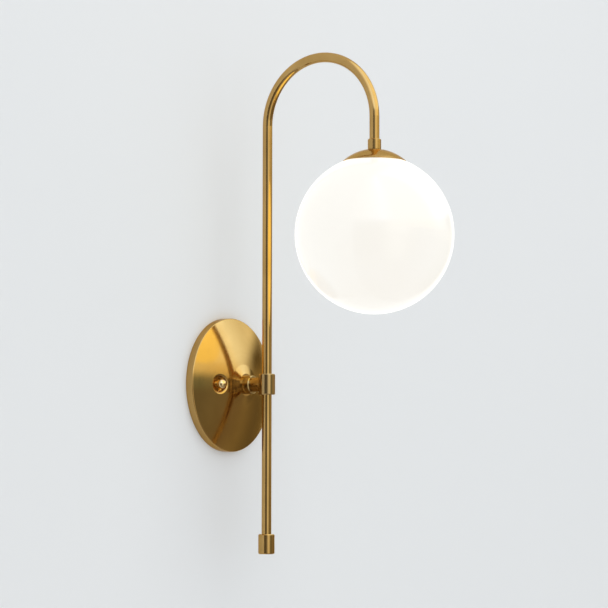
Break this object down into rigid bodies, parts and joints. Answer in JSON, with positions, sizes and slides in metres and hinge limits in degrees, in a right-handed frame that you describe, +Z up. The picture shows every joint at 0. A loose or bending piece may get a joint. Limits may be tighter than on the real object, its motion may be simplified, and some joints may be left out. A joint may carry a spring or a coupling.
{
  "type": "globe wall sconce",
  "caption": "Wall light with a round domed backplate, a hooked brass stem held in a clamp, and an opal glass globe hanging under a small domed holder.",
  "frame": {"origin": "centre of the backplate and of the strap's slot pattern, on the wall's face", "axes": "+Z up along the stem, +Y into the wall, +X to the right seen from the room"},
  "size_m": [0.152, 0.2504, 0.487],
  "materials": {
    "satin_brass": "satin, clear lacquered brass",
    "raw_brass": "plain machined brass",
    "zinc_steel": "bright zinc-plated steel",
    "black_steel": "black-oxide steel",
    "green_steel": "green dyed zinc steel",
    "spring_steel": "bright spring steel strip",
    "nickel_base": "rolled nickel-plated base",
    "opal_glass": "gloss opal glass",
    "frosted_glass": "frosted bulb glass",
    "black_phenolic": "moulded phenolic",
    "black_plastic": "moulded nylon",
    "black_insulation": "extruded insulation",
    "white_insulation": "extruded insulation",
    "white_rubber": "soft silicone"
  },
  "bodies": {
    "lamp": {"backplate": "satin_brass", "canopy_collar": "satin_brass", "stem_clamp": "satin_brass", "stem_tube": "satin_brass", "stem_foot": "satin_brass", "stem_coupler": "satin_brass", "shade_holder": "satin_brass", "canopy_nipple": "zinc_steel", "nipple_washer": "zinc_steel", "nipple_locknut": "raw_brass", "holder_nipple": "zinc_steel", "holder_nuts": "raw_brass", "mounting_strap": "zinc_steel", "canopy_studs": "zinc_steel", "stud_nuts": "zinc_steel", "ground_screw": "green_steel", "clamp_set_screw": "black_steel", "nipple_bushing": "black_plastic", "spring_plate": "zinc_steel", "globe_springs": "spring_steel", "spring_rivets": "zinc_steel", "holder_gasket": "white_rubber", "lampholder_cap": "black_phenolic", "lampholder_body": "black_phenolic", "screw_shell": "raw_brass", "centre_contact": "raw_brass", "line_lead": "black_insulation", "neutral_lead": "white_insulation"},
    "globe": {"globe_glass": "opal_glass"},
    "bulb": {"bulb_base": "nickel_base", "bulb_glass": "frosted_glass"},
    "ball_nut_left": {"ball_nut_left": "satin_brass"},
    "ball_nut_right": {"ball_nut_right": "satin_brass"}
  },
  "joints": [
    {"name": "globe_drop", "type": "slide", "parent": "lamp", "child": "globe", "axis": [0, 0, -1], "range_m": [0, 0.135], "deforming": ["globe_springs"]},
    {"name": "bulb_turn", "type": "hinge", "parent": "lamp", "child": "bulb", "pos_m": [0, -0.1744, 0.17], "axis": [0, 0, 1], "continuous": true},
    {"name": "ball_nut_left_turn", "type": "hinge", "parent": "lamp", "child": "ball_nut_left", "pos_m": [-0.03492, -0.0201, 0], "axis": [0, -1, 0], "continuous": true},
    {"name": "ball_nut_right_turn", "type": "hinge", "parent": "lamp", "child": "ball_nut_right", "pos_m": [0.03492, -0.0201, 0], "axis": [0, -1, 0], "continuous": true}
  ]
}
